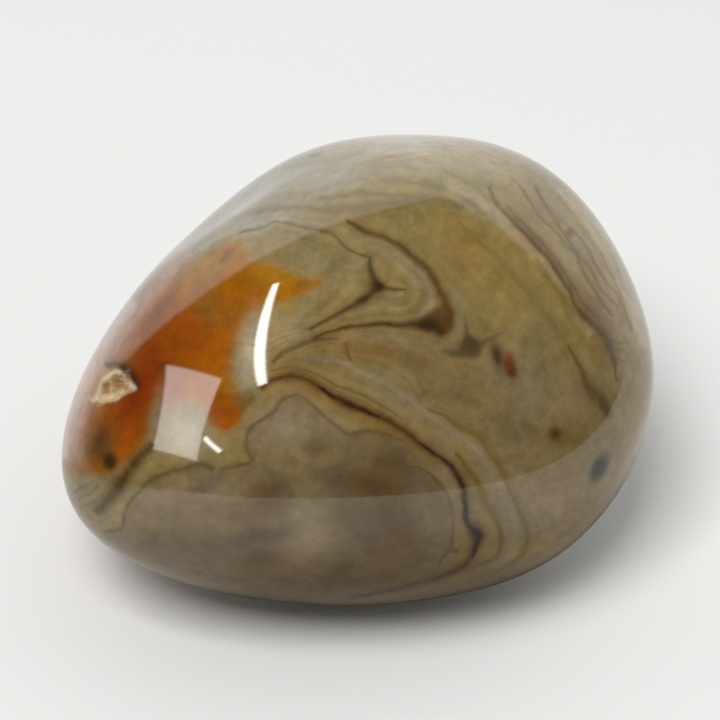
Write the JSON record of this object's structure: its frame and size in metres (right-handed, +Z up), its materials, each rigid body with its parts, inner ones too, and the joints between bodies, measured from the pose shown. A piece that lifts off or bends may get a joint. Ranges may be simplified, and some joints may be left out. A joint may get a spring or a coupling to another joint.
{
  "type": "agate pebble",
  "caption": "Egg-shaped tumbled and polished agate pebble with a small open pit in its narrow end and a small flat spot that it rests on.",
  "frame": {"origin": "on the level of the flat spot that the pebble rests on, under the middle of its bounding box", "axes": "+Z up; +X along the greatest width as it lies, from the narrow end with the pit towards the full end; -Y is the side that the picture is taken from"},
  "size_m": [0.0602, 0.0524, 0.0441],
  "materials": {
    "agate": "polished"
  },
  "bodies": {
    "root": {"agate_pebble": "agate"}
  },
  "joints": []
}
